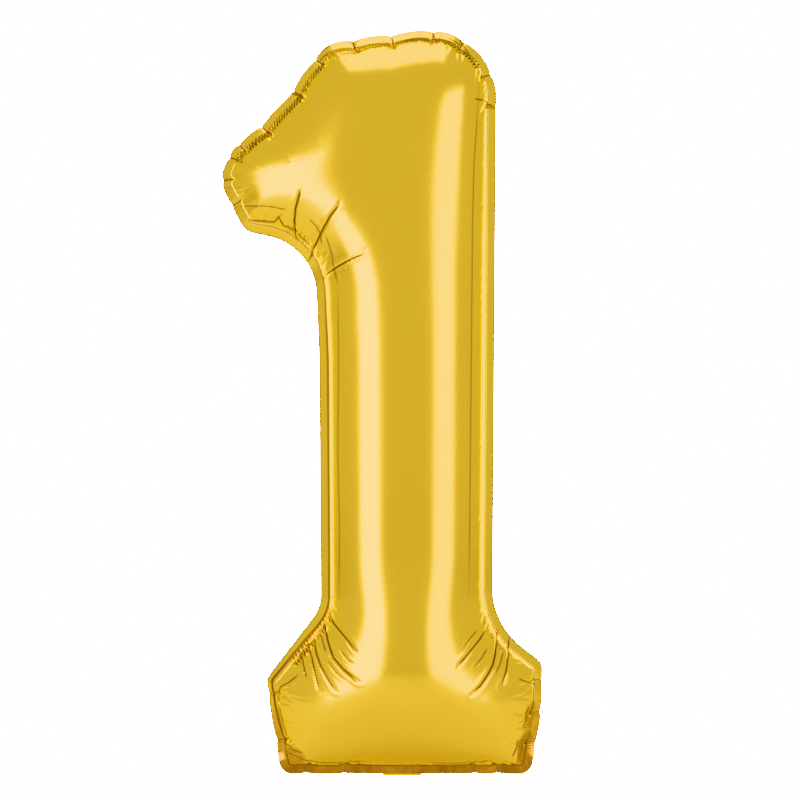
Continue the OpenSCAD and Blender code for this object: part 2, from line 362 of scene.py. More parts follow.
def column_lengths():
    """Places of the columns along the seam, closer together where the foil is crinkled."""
    s = np.linspace(0, SEAM_LEN, 6001)
    z = np.interp(s, SEAM_S, SEAM_P[:, 1])
    x = np.interp(s, SEAM_S, SEAM_P[:, 0])
    step = np.where((z > 215) & (z < 560), 3.6, 1.45)
    step = np.where((z > 560) & (x > 0) & (z < 760), 3.0, step)
    step = np.where((z > 690) & (x < -95), 1.15, step)
    step = np.convolve(np.pad(step, 20, mode="edge"), np.ones(41) / 41, mode="valid")
    count = np.concatenate([[0], np.cumsum((s[1] - s[0]) / step[1:])])
    total = int(count[-1])
    return np.interp(np.linspace(0, count[-1], total + 1), count, s)


COL_S = column_lengths()
COLS = len(COL_S)
RIM_ROWS = 6
ROWS = 58
ROOTS = 300
TURNS = (np.linspace(0, 1, ROWS + 1) ** 1.08) * math.pi / 2


def smooth_noise(seed, x, scale):
    """Sum of sines of random phase: a smooth wandering value of about -1 to 1."""
    rng = np.random.default_rng(seed)
    total = np.zeros_like(x)
    for i in range(7):
        wave = 2 * math.pi * x / (scale * rng.uniform(0.6, 2.2))
        total += np.sin(wave + rng.uniform(0, 6.28)) * rng.uniform(0.5, 1.0)
    return total / 3


def pleat_lengths():
    rows = sorted((nearest_s(x, z), pull, run, slant) for x, z, pull, run, slant in PLEATS)
    return np.array(rows)


PLEAT = pleat_lengths()


def margin_look(s, field):
    """One of the margin's looks at length s, by its place after x and z in MARGIN_LOOK."""
    rows = np.array(sorted((nearest_s(r[0], r[1]), r[2 + field]) for r in MARGIN_LOOK))
    return np.interp(s, rows[:, 0], rows[:, 1], period=SEAM_LEN)


def painted_rib_shade(points):
    """Strength of the painted rib shade on the foot's crinkled facets at each point (x, z)."""
    found = np.zeros(len(points))
    for x, z, across, along, lean, strength in PAINTED_RIB_SHADE:
        turn = math.radians(lean)
        dx = points[:, 0] - x
        dz = points[:, 1] - z
        u = (dx * math.cos(turn) - dz * math.sin(turn)) / across
        v = (dx * math.sin(turn) + dz * math.cos(turn)) / along
        found = np.maximum(found, strength * np.clip(2.2 * (1 - u * u - v * v), 0, 1))
    return found


def lobes(s):
    """Place between two pleats, 0 to 1, and the mean draw of the two, at each length s."""
    edge = np.concatenate([[PLEAT[-1, 0] - SEAM_LEN], PLEAT[:, 0], [PLEAT[0, 0] + SEAM_LEN]])
    draw = np.concatenate([[PLEAT[-1, 1]], PLEAT[:, 1], [PLEAT[0, 1]]])
    i = np.clip(np.searchsorted(edge, s) - 1, 0, len(edge) - 2)
    size = edge[i + 1] - edge[i]
    u = (s - edge[i]) / size
    mean = (draw[i] + draw[i + 1]) / 2
    return u, mean * np.clip(70 / size, 0, 1), i


def draw_in(s, seed):
    """How far the seam is drawn inwards at length s: cusps at pleats, bulges between them."""
    u, mean, _ = lobes(s)
    bulge = 4 * u * (1 - u)
    total = mean * (0.35 - 0.65 * bulge)
    for at, pull, run, slant in PLEAT:
        total += 0.36 * pull * np.exp(-((s - at) / 2.4) ** 2)
    return total + 0.2 * smooth_noise(seed, s, 16) * margin_look(s, 3)


def ruffle(s, out):
    """Height of the margin out of its plane, at length s and a distance out from the seam."""
    u, mean, i = lobes(s)
    side = np.where(i % 2 == 0, 1.0, -1.0)
    wave = side * np.sin(math.pi * u) * (0.35 + 0.25 * mean)
    fold = np.zeros_like(s)
    for k, (at, pull, run, slant) in enumerate(PLEAT):
        e = (s - at - slant * out) / 2.4
        way = 1 if k % 2 else -1
        fold += way * 0.35 * pull * e * np.exp(-e * e)
    reach = np.clip(out / MARGIN, 0, 1.2)
    fine = 0.22 * smooth_noise(3, s, 11) * margin_look(s, 3)
    calm = np.clip((np.abs(s - SEAM_LEN / 2) - SEAM_LEN / 2 + 60) / -25 + 1, 0, 1)
    tilt = -margin_look(s, 2) * out
    return (wave * reach + fold * (0.35 + 0.65 * reach) + fine * reach + tilt) * calm


# --- Relief: folds, pleats and crinkles -----------------------------------------------------

def line_field(points, line):
    """Signed distance of points from a line of points, and the place along it, 0 to 1."""
    line = np.array(line, float) * DRAWN_SCALE
    best = np.full(len(points), 1e9)
    signed = np.zeros(len(points))
    place = np.zeros(len(points))
    steps = np.linalg.norm(np.diff(line, axis=0), axis=1)
    total = steps.sum()
    done = 0.0
    for a, b, length in zip(line[:-1], line[1:], steps):
        t = (b - a) / length
        rel = points - a
        along = rel @ t
        off = rel[:, 0] * t[1] - rel[:, 1] * t[0]
        held = np.clip(along, 0, length)
        gap = np.hypot(off, along - held)
        closer = gap < best
        best[closer] = gap[closer]
        signed[closer] = (np.sign(off) * gap)[closer]
        place[closer] = ((done + held) / total)[closer]
        done += length
    return signed, place


def fold_relief(points):
    """Height of the pressed folds, and per group the signed distance and the strength of the painted
    shade line.
    """
    height = np.zeros(len(points))
    dist = np.full((4, len(points)), 9.0)
    force = np.zeros((4, len(points)))
    for group, depth, width, line in FOLDS:
        e, place = line_field(points, line)
        near = np.abs(e) < 14
        taper = np.clip(np.minimum(place, 1.12 - place) * 6, 0, 1) ** 0.7
        wide = 0.8 * width
        groove = -np.exp(-(e / wide) ** 2)
        ridge = 0.5 * np.exp(-((e - 1.9 * wide) / (1.2 * wide)) ** 2)
        swell = 0.15 * np.exp(-((e + 2.4 * wide) / (1.6 * wide)) ** 2)
        height += np.where(near, depth * 0.42 * taper * (groove + ridge + swell), 0)
        mine = np.abs(e) < np.minimum(np.abs(dist[group]), 6)
        window = np.clip((6 - np.abs(e)) / 2, 0, 1)
        ends = np.clip(np.minimum(place, 1 - place) * 8 + 0.08, 0, 1)
        dist[group] = np.where(mine, e, dist[group])
        strong = min(1.0, 0.30 + depth * 0.27)
        force[group] = np.where(mine, window * ends * strong, force[group])
    return height, dist, force


def between(s, a, b, soft):
    """1 inside the stretch from a to b, falling to 0 over the soft length outside it."""
    low, high = min(a, b), max(a, b)
    return np.clip((s - low) / soft + 1, 0, 1) * np.clip((high - s) / soft + 1, 0, 1)


def pleat_lines(s, d):
    """Distance from the nearest pleat's crease, and the strength of the crease's painted shade line
    there.
    """
    dist = np.full_like(s, 9.0)
    force = np.zeros_like(s)
    for at, pull, run, slant in PLEAT:
        e = s - at - slant * np.maximum(d, 0)
        mine = np.abs(e) < np.minimum(np.abs(dist), 6)
        dist = np.where(mine, e, dist)
        window = np.clip((0.45 * run - d) / 4, 0, 1) * np.clip((6 - np.abs(e)) / 2, 0, 1)
        force = np.where(mine, window * min(1.0, pull / 3), force)
    return dist, force


def crinkle_zone(s, d, seed):
    """Strength and turn number of the zigzag crinkles that run along the seam."""
    zone = np.zeros_like(s)
    turns = np.zeros_like(s)
    for (x0, z0), (x1, z1), pitch, tall in CRINKLES:
        inside = between(s, nearest_s(x0, z0), nearest_s(x1, z1), 3)
        inside = inside * np.clip((d + 2) / 1.5, 0, 1) * np.clip((10.5 - d) / 2.5, 0, 1)
        patchy = np.clip(0.95 + 0.4 * smooth_noise(seed + 7, s, 30), 0.5, 1)
        phase = (s + 0.9 * smooth_noise(seed + 1, s, 22) + 0.22 * d) / pitch
        turns = np.where(inside * tall > zone, phase, turns)
        zone = np.maximum(zone, inside * tall * patchy)
    return zone, turns


def crinkle_relief(zone, turns, d):
    """Height of the crinkles on the filled side of the seam."""
    tri = np.abs((turns % 1) - 0.5) * 4 - 1
    return 0.65 * zone * tri * np.clip(d / 1.6, 0, 1)


def stroke_relief(s, d, seed):
    """Random short dents running in from the seam, thickest where the seam is curved."""
    rng = np.random.default_rng(seed)
    height = np.zeros_like(s)
    made = 0
    while made < 330:
        at = rng.uniform(0, SEAM_LEN)
        z = np.interp(at, SEAM_S, SEAM_P[:, 1])
        x = np.interp(at, SEAM_S, SEAM_P[:, 0])
        straight = 215 < z < 560 or (x > 0 and 200 < z < 760)
        if straight and rng.uniform() > 0.25:
            continue
        made += 1
        length = rng.uniform(6, 26) * (0.7 if straight else 1)
        slant = rng.normal(0, 0.45)
        width = rng.uniform(1.5, 2.6)
        deep = rng.uniform(0.15, 0.65) * (0.4 if straight else 1)
        start = rng.uniform(0, 5)
        near = np.abs(s - at) < 30
        e = (s[near] - at - slant * (d[near] - start)) / width
        run = np.clip((d[near] - start) / 2, 0, 1) * np.clip((start + length - d[near]) / 6, 0, 1)
        height[near] += -deep * run * np.exp(-e * e) + 0.4 * deep * run * np.exp(-(e - 1.7) ** 2)
    return height


def pleat_relief(s, d):
    """Soft valleys that run in from the pleats, with swollen lobes between them."""
    height = np.zeros_like(s)
    for at, pull, run, slant in PLEAT:
        e = (s - at - slant * d) / (2.2 + 0.16 * d)
        height += -0.62 * pull * np.exp(-e * e) * np.clip(1 - d / (1.6 * run), 0, 1) ** 1.5
    u, mean, _ = lobes(s)
    swell = (4 * u * (1 - u) - 0.55) * mean * 0.5
    return height + swell * np.exp(-d / 16) * np.clip(d / 3, 0, 1)


def panel_grid(seed, side):
    """Points of a panel's grid, row by row from the rim to the spine, and its attributes.

    The panel faces the front. Side is -1 for a panel that is mirrored to the back afterwards:
    its margin then still follows the front panel's.
    """
    px = np.interp(COL_S, SEAM_S, SEAM_P[:, 0])
    pz = np.interp(COL_S, SEAM_S, SEAM_P[:, 1])
    seam = np.column_stack([px, pz])
    n = np.column_stack([np.interp(COL_S, SEAM_S, SEAM_N[:, 0]),
                         np.interp(COL_S, SEAM_S, SEAM_N[:, 1])])
    n = n / np.linalg.norm(n, axis=1)[:, None]
    share = np.interp(COL_S, SEAM_S, SEAM_SHARE)
    root_id = np.round(share * ROOTS).astype(int)
    roots = spine_at(np.arange(ROOTS + 1) / ROOTS)
    start = roots[root_id]
    flat = np.empty((ROWS, COLS, 2))
    for j in range(ROWS):
        u = math.cos(TURNS[j])
        flat[j] = start * (1 - u) + seam * u
    high = puff(flat[1:].reshape(-1, 2)).reshape(ROWS - 1, COLS)
    body = np.zeros((ROWS, COLS, 3))
    body[:, :, 0] = flat[:, :, 0]
    body[:, :, 2] = flat[:, :, 1]
    body[0, :, 1] = -FOIL_GAP
    body[1:, :, 1] = -FOIL_GAP - HALF_D * high
    root_pts = np.column_stack([roots[:, 0], -FOIL_GAP - HALF_D * puff(roots), roots[:, 1]])
    inward = np.linalg.norm(flat - seam[None], axis=2)
    d = inward
    s = np.broadcast_to(COL_S, d.shape)
    normal = grid_normals(body, root_pts[root_id])
    in_plane = draw_in(COL_S, 5)
    fade = np.exp(-(d / 14.0) ** 1.3)
    body[:, :, 0] -= in_plane * n[:, 0] * fade
    body[:, :, 2] -= in_plane * n[:, 1] * fade
    relief, dist, force = fold_relief(flat.reshape(-1, 2))
    relief = relief.reshape(d.shape)
    zone, turns = crinkle_zone(s, d, seed)
    relief = relief + crinkle_relief(zone, turns, d)
    relief = relief + stroke_relief(s, d, seed) + pleat_relief(s, d)
    tip = np.hypot(flat[:, :, 0] - SPINE[0][1], flat[:, :, 1] - SPINE[0][2] - FOOT_Z)
    relief = relief * np.clip(d / 0.8, 0, 1) * np.clip((tip - 12) / 26, 0, 1)
    body += normal * relief[:, :, None]
    body[:, :, 1] -= side * ruffle(COL_S, np.zeros(COLS)) * np.exp(-(d / 5.0) ** 2)
    rim = np.zeros((RIM_ROWS, COLS, 3))
    rim_d = np.zeros((RIM_ROWS, COLS))
    at_neck = (np.abs(px) < TAIL_W / 2) & (pz < FOOT_Z + 1)
    width = np.where(at_neck, FOOT_Z - NECK_Z, MARGIN)
    for j in range(RIM_ROWS):
        out = width * (1 - j / RIM_ROWS)
        rim[j, :, 0] = px + n[:, 0] * (out - in_plane)
        rim[j, :, 2] = pz + n[:, 1] * (out - in_plane)
        rim[j, :, 1] = -FOIL_GAP - side * ruffle(COL_S, out)
        rim_d[j] = -out
    points = np.concatenate([rim, body])
    all_d = np.concatenate([rim_d, d])
    rim_zone, rim_turns = crinkle_zone(np.broadcast_to(COL_S, rim_d.shape), rim_d, seed)
    rim_flat = seam[None] - n[None] * rim_d[:, :, None]
    _, rim_dist, rim_force = fold_relief(rim_flat.reshape(-1, 2))
    pleat_d, pleat_w = pleat_lines(np.tile(COL_S, (len(all_d), 1)), all_d)
    attributes = {
        "pleat_d": pleat_d.ravel(),
        "pleat_w": pleat_w.ravel(),
        "seam_s": np.broadcast_to(COL_S, all_d.shape).ravel(),
        "seam_d": all_d.ravel(),
        "crinkle": np.concatenate([rim_zone, zone]).ravel(),
        "crinkle_turn": np.concatenate([rim_turns, turns]).ravel(),
        "painted_seam_shade": np.broadcast_to(margin_look(COL_S, 0), all_d.shape).ravel(),
        "edge_line": np.broadcast_to(margin_look(COL_S, 1), all_d.shape).ravel(),
        "painted_dark_reflection": np.broadcast_to(margin_look(COL_S, 4), all_d.shape).ravel(),
        "shade_line_at": np.broadcast_to(margin_look(COL_S, 5), all_d.shape).ravel(),
        "painted_rib_shade": painted_rib_shade(np.concatenate([rim_flat, flat]).reshape(-1, 2)),
    }
    for k in range(4):
        attributes[f"fold_d{k}"] = np.concatenate([rim_dist[k], dist[k]])
        attributes[f"fold_w{k}"] = np.concatenate([rim_force[k], force[k]])
    return points, root_id, root_pts, attributes


def grid_normals(body, ends):
    """Outward normals of the smooth surface at each point of the grid."""
    along = np.empty_like(body)
    along[:, 1:-1] = body[:, 2:] - body[:, :-2]
    along[:, 0] = body[:, 1] - body[:, 0]
    along[:, -1] = body[:, -1] - body[:, -2]
    down = np.empty_like(body)
    down[1:-1] = body[2:] - body[:-2]
    down[-1] = ends - body[-2]
    down[0] = body[1] - body[0]
    normal = np.cross(along, down)
    size = np.linalg.norm(normal, axis=2)
    normal = normal / np.maximum(size, 1e-9)[:, :, None]
    flip = np.where(normal[:, :, 1] > 0, -1.0, 1.0)
    return normal * flip[:, :, None]


def fix_outward(points, faces, towards):
    """Turns all faces over if most of them face away from the wanted direction."""
    a = points[faces[:, 0]]
    b = points[faces[:, 1]]
    c = points[faces[:, 2]]
    area = np.cross(b - a, c - a).sum(axis=0)
    return faces[:, ::-1] if area @ np.array(towards) < 0 else faces


def mesh_object(name, points, faces, attributes=None):
    """An object with smooth faces from points in millimetres."""
    mesh = bpy.data.meshes.new(name)
    mesh.from_pydata((points * 0.001).tolist(), [], [tuple(f) for f in faces])
    mesh.validate()
    for key, values in (attributes or {}).items():
        made = mesh.attributes.new(key, "FLOAT", "POINT")
        made.data.foreach_set("value", np.asarray(values, np.float32))
    mesh.shade_smooth()
    obj = bpy.data.objects.new(name, mesh)
    bpy.context.scene.collection.objects.link(obj)
    return obj


def grid_faces(rows, cols, first=0):
    """Two triangles per cell of a grid of points."""
    j, i = np.meshgrid(np.arange(rows - 1), np.arange(cols - 1), indexing="ij")
    a = (first + j * cols + i).ravel()
    b, c, e = a + 1, a + cols + 1, a + cols
    return np.concatenate([np.column_stack([a, b, c]), np.column_stack([a, c, e])])


def panel(name, front, seed):
    """One foil panel: dome, folds, crinkles and welded margin."""
    points, root_id, root_pts, attributes = panel_grid(seed, 1 if front else -1)
    rows = RIM_ROWS + ROWS
    points = points.reshape(-1, 3)
    faces = grid_faces(rows, COLS)
    last = (rows - 1) * COLS
    first_root = len(points)
    fan = []
    for i in range(COLS - 1):
        a, b = root_id[i], root_id[i + 1]
        step = 1 if b > a else -1
        for r in range(a, b, step):
            fan.append((last + i, first_root + r, first_root + r + step))
        fan.append((last + i, first_root + b, last + i + 1))
    fan = np.array(fan)
    probe = points.copy()
    probe = np.concatenate([probe, root_pts])
    faces = fix_outward(probe, faces, (0, -1, 0))
    fan = fix_outward(probe, one_way(probe, fan), (0, -1, 0))
    faces = np.concatenate([faces, fan])
    points = probe
    extra = len(root_pts)
    for key in attributes:
        tail = np.zeros(extra)
        if key.startswith("fold_d") or key == "pleat_d":
            tail += 9.0
        if key == "seam_d":
            tail += 90.0
        attributes[key] = np.concatenate([attributes[key], tail])
    if not front:
        points = points * np.array([1, -1, 1])
        faces = faces[:, ::-1]
    return mesh_object(name, points, faces, attributes)


def one_way(points, faces):
    """Turns single faces so that all of them face the front."""
    a = points[faces[:, 0]]
    n = np.cross(points[faces[:, 1]] - a, points[faces[:, 2]] - a)
    out = faces.copy()
    wrong = n[:, 1] > 0
    out[wrong] = faces[wrong][:, ::-1]
    return out


# --- Weld at the edge -----------------------------------------------------------------------

def edge_weld(name):
    """The weld between the two margins, seen as the thin cut edge."""
    px = np.interp(COL_S, SEAM_S, SEAM_P[:, 0])
    pz = np.interp(COL_S, SEAM_S, SEAM_P[:, 1])
    n = np.column_stack([np.interp(COL_S, SEAM_S, SEAM_N[:, 0]),
                         np.interp(COL_S, SEAM_S, SEAM_N[:, 1])])
    n = n / np.linalg.norm(n, axis=1)[:, None]
    in_plane = draw_in(COL_S, 5)
    keep = np.abs(px) >= TAIL_W / 2
    keep |= pz > FOOT_Z + 1
    rows = []
    outs = [MARGIN * j / RIM_ROWS for j in range(1, RIM_ROWS)]
    ring = [(out, -0.1) for out in outs]
    ring += [(MARGIN + 0.06, -0.1), (MARGIN + 0.06, 0.1)]
    ring += [(out, 0.1) for out in reversed(outs)]
    for out, y in ring:
        x = px + n[:, 0] * (out - in_plane)
        z = pz + n[:, 1] * (out - in_plane)
        rows.append(np.column_stack([x, y - ruffle(COL_S, np.full(COLS, out)), z]))
    rows = np.array(rows)
    picked = np.flatnonzero(keep)
    rows = rows[:, picked]
    cols = len(picked)
    points = rows.reshape(-1, 3)
    faces = []
    for j in range(len(ring)):
        k = (j + 1) % len(ring)
        for i in range(cols - 1):
            if picked[i + 1] != picked[i] + 1:
                continue
            faces.append((j * cols + i, j * cols + i + 1, k * cols + i + 1))
            faces.append((j * cols + i, k * cols + i + 1, k * cols + i))
    faces = np.array(faces)
    return mesh_object(name, points, faces)


# --- Tail -----------------------------------------------------------------------------------

def tail_place(run, r):
    """Point (y, z) at a length along the tail from the body's neck, r outside its middle."""
    neck = NECK_Z + 1.2 - CREASE_Z
    if run < neck:
        return -r, NECK_Z + 1.2 - run
    run -= neck
    angle = run / CURL_R
    centre = CREASE_Z + CURL_R
    return (CURL_R + r) * math.sin(angle), centre - (CURL_R + r) * math.cos(angle)


def tail_strip(name, r, wave, length, bands):
    """Strips of the folded tail, r outside its middle, with soft waves shared by all layers.

    Bands are the strips' edges across the tail, and wave is how far the layer bulges.
    """
    runs = np.concatenate([np.linspace(0, 4, 14), np.linspace(4.8, length, 48)])
    points = []
    faces = []
    cross = []
    for x0, x1 in bands:
        xs = np.linspace(x0, x1, max(4, int((x1 - x0) * 1.2)))
        faces.append(grid_faces(len(runs), len(xs), len(points)))
        for run in runs:
            y, z = tail_place(run, 0)
            y1, z1 = tail_place(run, 1.0)
            for x in xs:
                between_welds = max(0, 1 - (x / (TAIL_W / 2 - TAIL_SEAL_W)) ** 2)
                off = r + wave * between_welds ** 0.7 * min(1, max(0, (run - 6) / 18))
                ripple = 0.24 * math.sin(run * 0.29 + x * 0.11 + 1)
                ripple += 0.11 * math.sin(run * 0.43 - x * 0.19 + 2)
                ripple += 0.05 * math.sin(run * 0.71 + x * 0.37 + 0.6)
                off += ripple * min(1, run / 14)
                points.append((x, y + (y1 - y) * off, z + (z1 - z) * off))
                cross.append((x, run))
    cross = np.array(cross)
    return mesh_object(name, np.array(points), np.concatenate(faces),
                       {"seam_s": cross[:, 0], "seam_d": cross[:, 1]})


# --- Valve ----------------------------------------------------------------------------------

def film_wave(x, z):
    """How far the valve stands off its plane at (x, z): soft waves that grow from the neck."""
    run = np.maximum(0, z - VALVE_Z)
    free = np.minimum(1, run / 30)
    wave = 0.9 * np.sin(run * 0.085 + x * 0.05) + 0.35 * np.sin(run * 0.21 - x * 0.17 + 1.2)
    curl = 0.0022 * x * x
    return free * (wave + curl)


def valve_strip(name, y, bulge, z0, z1, bands):
    """Strips of the valve between two heights, y from its middle, bulging between its welds."""
    zs = np.linspace(z0, z1, max(6, int((z1 - z0) * 0.9)))
    points = []
    faces = []
    for x0, x1 in bands:
        xs = np.linspace(x0, x1, max(4, int((x1 - x0) * 0.9)))
        faces.append(grid_faces(len(zs), len(xs), len(points)))
        for z in zs:
            for x in xs:
                between_welds = max(0, 1 - (x / (VALVE_W / 2 - VALVE_SEAL_W)) ** 2)
                free = min(1, max(0, z - VALVE_Z) / 20)
                off = y + bulge * free * between_welds + film_wave(x, z)
                points.append((x, off, z))
    return mesh_object(name, np.array(points), np.concatenate(faces))


# --- Materials ------------------------------------------------------------------------------

def add(tree, kind, inputs=None, **settings):
    """A shader node with its inputs set to numbers or linked."""
    n = tree.nodes.new("ShaderNode" + kind)
    for key, value in settings.items():
        setattr(n, key, value)
    for key, value in (inputs or {}).items():
        if isinstance(value, bpy.types.NodeSocket):
            tree.links.new(value, n.inputs[key])
        else:
            n.inputs[key].default_value = value
    return n


def calc(tree, operation, a, b=0.0, clamp=False):
    n = add(tree, "Math", {0: a, 1: b}, operation=operation, use_clamp=clamp)
    return n.outputs[0]


def factor(tree, name):
    return add(tree, "Attribute", attribute_name=name, attribute_type="GEOMETRY").outputs["Fac"]


def bell(tree, value, width):
    """1 where value is 0, falling to 0 within about width."""
    square = calc(tree, "MULTIPLY", value, value)
    return calc(tree, "EXPONENT", calc(tree, "MULTIPLY", square, -1.0 / (width * width)))


def mix_colour(tree, share, a, b):
    n = add(tree, "Mix", data_type="RGBA")
    ins = [i for i in n.inputs if i.enabled]
    for socket, value in zip(ins, (share, a, b)):
        if isinstance(value, bpy.types.NodeSocket):
            tree.links.new(value, socket)
        else:
            socket.default_value = value
    return [o for o in n.outputs if o.enabled][0]


def new_material(name):
    mat = bpy.data.materials.new(name)
    mat.use_nodes = True
    mat.node_tree.nodes.clear()
    return mat, mat.node_tree


def foil_material(name, folds=True):
    """Gold lacquer on metallised film, with painted shade in the folds, crinkles and along the seam,
    painted dark reflections on the margin and a painted highlight beside the seam.
    """
    mat, tree = new_material(name)
    place = add(tree, "TexCoord").outputs["Object"]
    cloud = add(tree, "TexNoise", {"Vector": place, "Scale": 9.0, "Detail": 2.0}).outputs["Fac"]
    grain = add(tree, "TexNoise", {"Vector": place, "Scale": 160.0, "Detail": 3.0}).outputs["Fac"]
    grain_wide = add(tree, "TexNoise", {"Vector": place, "Scale": 70.0, "Detail": 2.0})
    grain_wide = grain_wide.outputs["Fac"]
    # dark starts as the grain's slight random tone; the painted shade and painted dark reflections
    # below are added to it.
    dark = calc(tree, "MULTIPLY", grain, 0.02)
    height = None
    if folds:
        d = factor(tree, "seam_d")
        # Painted shade: a dark line along the seam where the foil turns steeply in, its strength and
        # place set round the seam in MARGIN_LOOK.
        from_shade_line = calc(tree, "SUBTRACT", d, factor(tree, "shade_line_at"))
        seam_line = bell(tree, from_shade_line, 1.4)
        seam_line = calc(tree, "MULTIPLY", seam_line, factor(tree, "painted_seam_shade"))
        edge_line = bell(tree, calc(tree, "ADD", d, 9.8), 1.0)
        edge_line = calc(tree, "MULTIPLY", edge_line, factor(tree, "edge_line"))
        # Painted shade in the grooves of the zigzag crinkles beside the seam.
        turn = calc(tree, "SUBTRACT", calc(tree, "FRACT", factor(tree, "crinkle_turn")), 0.5)
        zigzag = calc(tree, "MULTIPLY", calc(tree, "ABSOLUTE", turn), 4 * ZIGZAG)
        stripe = bell(tree, calc(tree, "SUBTRACT", calc(tree, "ADD", d, 0.8), zigzag), 3.6)
        stripe = calc(tree, "MULTIPLY", stripe, factor(tree, "crinkle"))
        stripe = calc(tree, "MULTIPLY", stripe, 1.3, clamp=True)
        dark = calc(tree, "MAXIMUM", dark, calc(tree, "MAXIMUM", seam_line, edge_line))
        # Painted dark reflection: patchy brown on the margin outside the painted seam shade line.
        outside = calc(tree, "MULTIPLY", from_shade_line, -0.5, clamp=True)
        patchy = calc(tree, "MULTIPLY_ADD", grain_wide, 1.0)
        patchy.node.inputs[2].default_value = 0.45
        painted_dark_reflection = calc(tree, "MULTIPLY", calc(tree, "MULTIPLY", outside, patchy),
                       factor(tree, "painted_dark_reflection"))
        dark = calc(tree, "MAXIMUM", dark, painted_dark_reflection)
        # Painted shade: fine dark stripes on the crinkled facets at the foot's ends.
        ribs = calc(tree, "SINE", calc(tree, "MULTIPLY", factor(tree, "seam_s"), 2.2))
        ribs = calc(tree, "MULTIPLY_ADD", ribs, 0.22)
        ribs.node.inputs[2].default_value = 0.78
        ribs = calc(tree, "MULTIPLY", ribs, factor(tree, "painted_rib_shade"))
        dark = calc(tree, "MAXIMUM", dark, ribs)
        dark = calc(tree, "MAXIMUM", dark, stripe)
        # Painted shade: dark lines along the pleats' creases and the pressed folds.
        lines = bell(tree, factor(tree, "pleat_d"), 0.8)
        lines = calc(tree, "MULTIPLY", lines, factor(tree, "pleat_w"))
        for k in range(4):
            line = bell(tree, factor(tree, f"fold_d{k}"), 0.95)
            line = calc(tree, "MULTIPLY", line, factor(tree, f"fold_w{k}"))
            lines = calc(tree, "MAXIMUM", lines, line)
        dark = calc(tree, "MAXIMUM", dark, lines)
        height = calc(tree, "MULTIPLY", dark, -0.9)
    fine = calc(tree, "MULTIPLY", grain, 0.06)
    height = fine if height is None else calc(tree, "ADD", height, fine)
    colour = mix_colour(tree, cloud, (0.915, 0.605, 0.072, 1), (0.945, 0.635, 0.080, 1))
    if folds:
        # Painted highlight: a pale band just inside the seam, left out where the painted seam shade is
        # strong.
        pale = calc(tree, "SUBTRACT", 1.0, factor(tree, "painted_seam_shade"), clamp=True)
        pale = calc(tree, "MULTIPLY", pale, bell(tree, calc(tree, "SUBTRACT", d, 0.9), 1.8))
        colour = mix_colour(tree, pale, colour, (0.98, 0.84, 0.26, 1))
    # The grain's tone and the painted shade and painted dark reflections turn the gold brown, then near
    # black.
    half_dark = calc(tree, "MULTIPLY", dark, 2.0, clamp=True)
    full_dark = calc(tree, "MULTIPLY_ADD", dark, 2.0, clamp=True)
    full_dark.node.inputs[2].default_value = -1.0
    colour = mix_colour(tree, half_dark, colour, (0.50, 0.24, 0.030, 1))
    colour = mix_colour(tree, full_dark, colour, (0.09, 0.020, 0.006, 1))
    rough = calc(tree, "MULTIPLY_ADD", cloud, 0.05)
    rough.node.inputs[2].default_value = 0.15
    bump = add(tree, "Bump", {"Height": height, "Strength": 0.5, "Distance": 0.0006})
    shader = add(tree, "BsdfPrincipled", {
        "Base Color": colour,
        "Metallic": 1.0,
        "Roughness": rough,
        "Specular Tint": (0.95, 0.80, 0.32, 1),
        "Coat Weight": 0.1,
        "Coat Roughness": 0.12,
        "Normal": bump.outputs[0],
    })
    out = add(tree, "OutputMaterial", {"Surface": shader.outputs[0]})
    out.is_active_output = True
    return mat


def plain_material(name, colour, rough, scale, clear=0.0, metal=0.0):
    """Plastic film or weld, with fine procedural variation."""
    mat, tree = new_material(name)
    place = add(tree, "TexCoord").outputs["Object"]
    noise = add(tree, "TexNoise", {"Vector": place, "Scale": scale, "Detail": 3.0}).outputs["Fac"]
    tint = mix_colour(tree, noise, colour, tuple(c * 0.86 for c in colour[:3]) + (1,))
    bump = add(tree, "Bump", {"Height": noise, "Strength": 0.25, "Distance": 0.0003})
    shade = calc(tree, "MULTIPLY_ADD", noise, 0.12)
    shade.node.inputs[2].default_value = rough
    shader = add(tree, "BsdfPrincipled", {
        "Base Color": tint,
        "Roughness": shade,
        "Metallic": metal,
        "Transmission Weight": clear,
        "IOR": 1.45,
        "Normal": bump.outputs[0],
    })
    add(tree, "OutputMaterial", {"Surface": shader.outputs[0]})
    return mat


# --- Lights, floor and camera ---------------------------------------------------------------

ROOM_LIGHT = 0.75    # radiance of the even room round the balloon
BACKDROP = 30.0      # radiance of the white backdrop that the camera sees
LIGHT_AWAY = 2.0     # metres from the balloon to each upright softbox
LIGHT_UP = 0.7       # height of the middle of each upright softbox, in metres
LIGHT_TALL = 1.6     # height of the panel itself, in metres

# Upright softboxes: name, degrees from the camera's side towards the right, width in metres and
# power in watts.
SOFTBOXES = [
    ("key_light", -50, 1.0, 16),
    ("fill_light", 50, 1.0, 10),
    ("back_left_light", -145, 1.0, 10),
    ("back_right_light", 145, 1.0, 10),
]
TOP_UP = 2.2         # height of the overhead softbox, in metres
TOP_SIDE = 1.4       # its side, in metres
TOP_POWER = 10       # watts
FLOOR_HALF = 4.0     # half the floor's side
FLOOR_Z = -0.06
CAMERA_X = -0.0023
CAMERA_AWAY = 2.6
CAMERA_UP = 0.435
SEEN_WIDE = 0.926    # width of the picture at the balloon
SENSOR = 36          # millimetres


def softbox(name, wide, tall, power):
    """Plain white soft panel that lights the balloon and stays out of the picture."""
    data = bpy.data.lights.new(name, "AREA")
    data.shape = "RECTANGLE"
    data.size = wide
    data.size_y = tall
    data.energy = power
    obj = bpy.data.objects.new(name, data)
    bpy.context.scene.collection.objects.link(obj)
    obj.visible_camera = False
    return obj


